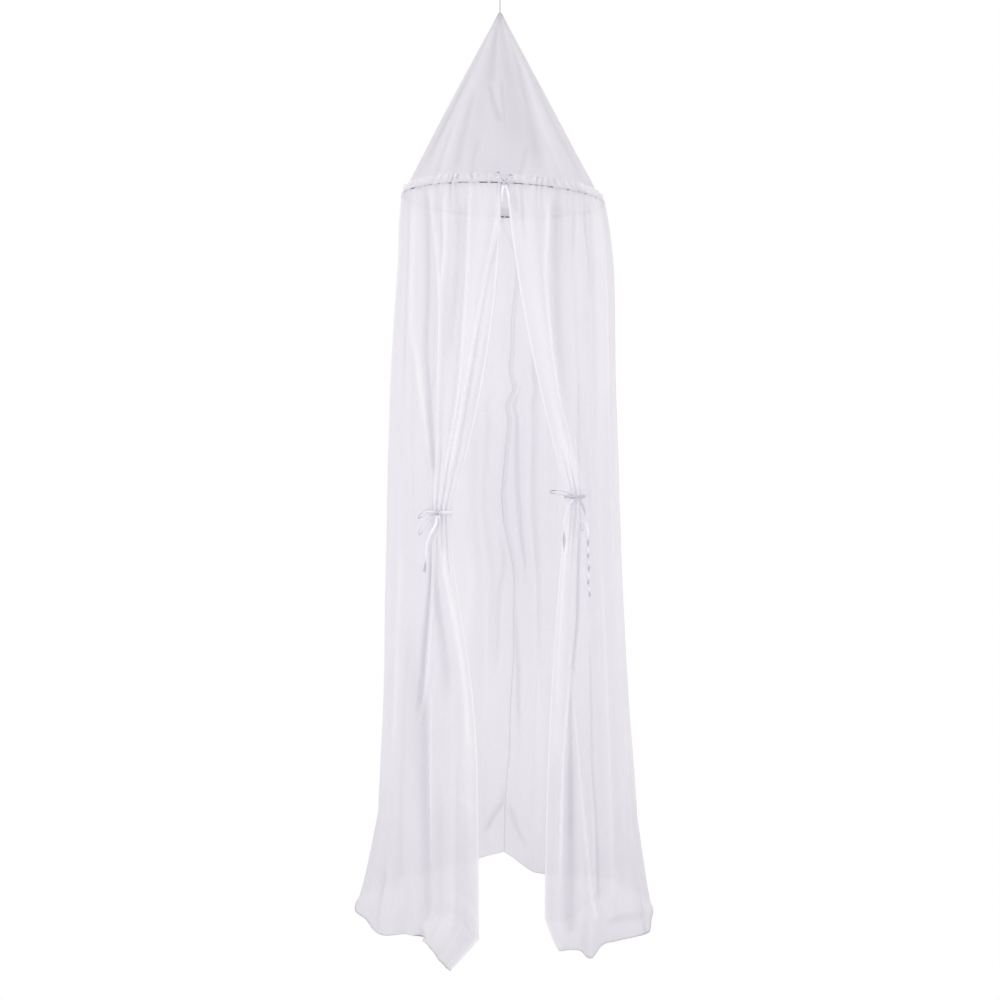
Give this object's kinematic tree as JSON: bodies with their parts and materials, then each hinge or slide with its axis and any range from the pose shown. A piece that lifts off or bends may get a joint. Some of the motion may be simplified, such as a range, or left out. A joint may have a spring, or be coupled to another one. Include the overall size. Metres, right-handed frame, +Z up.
{
  "type": "mosquito net canopy with hoop",
  "caption": "Hanging net canopy: a cone roof over a thin wire hoop, with gathered sheer panels to the floor, open at the front and tied back with ribbon bows.",
  "frame": {"origin": "the top of the hanging loop, where a ceiling hook holds it", "axes": "+Z up; the open front faces -Y; +X is to the right as seen from the front"},
  "size_m": [0.7995, 0.8175, 2.5004],
  "materials": {
    "net_curtain": "sheer matte white voile",
    "net_roof": "closer-woven matte white voile",
    "ribbon": "soft white ribbon",
    "hoop_wire": "dark painted wire",
    "hanging_cord": "thin matte cord"
  },
  "bodies": {
    "root": {"roof": "net_roof", "hoop": "hoop_wire", "curtain_left": "net_curtain", "curtain_right": "net_curtain", "left_tie_band": "ribbon", "left_tie_bow": "ribbon", "left_tie_tail_1": "ribbon", "left_tie_tail_2": "ribbon", "right_tie_band": "ribbon", "right_tie_bow": "ribbon", "right_tie_tail_1": "ribbon", "right_tie_tail_2": "ribbon", "top_tie_bow": "ribbon", "top_tie_tail_1": "ribbon", "top_tie_tail_2": "ribbon", "hanging_cord": "hanging_cord", "hanging_knot": "hanging_cord", "hanging_loop": "hanging_cord"}
  },
  "joints": []
}
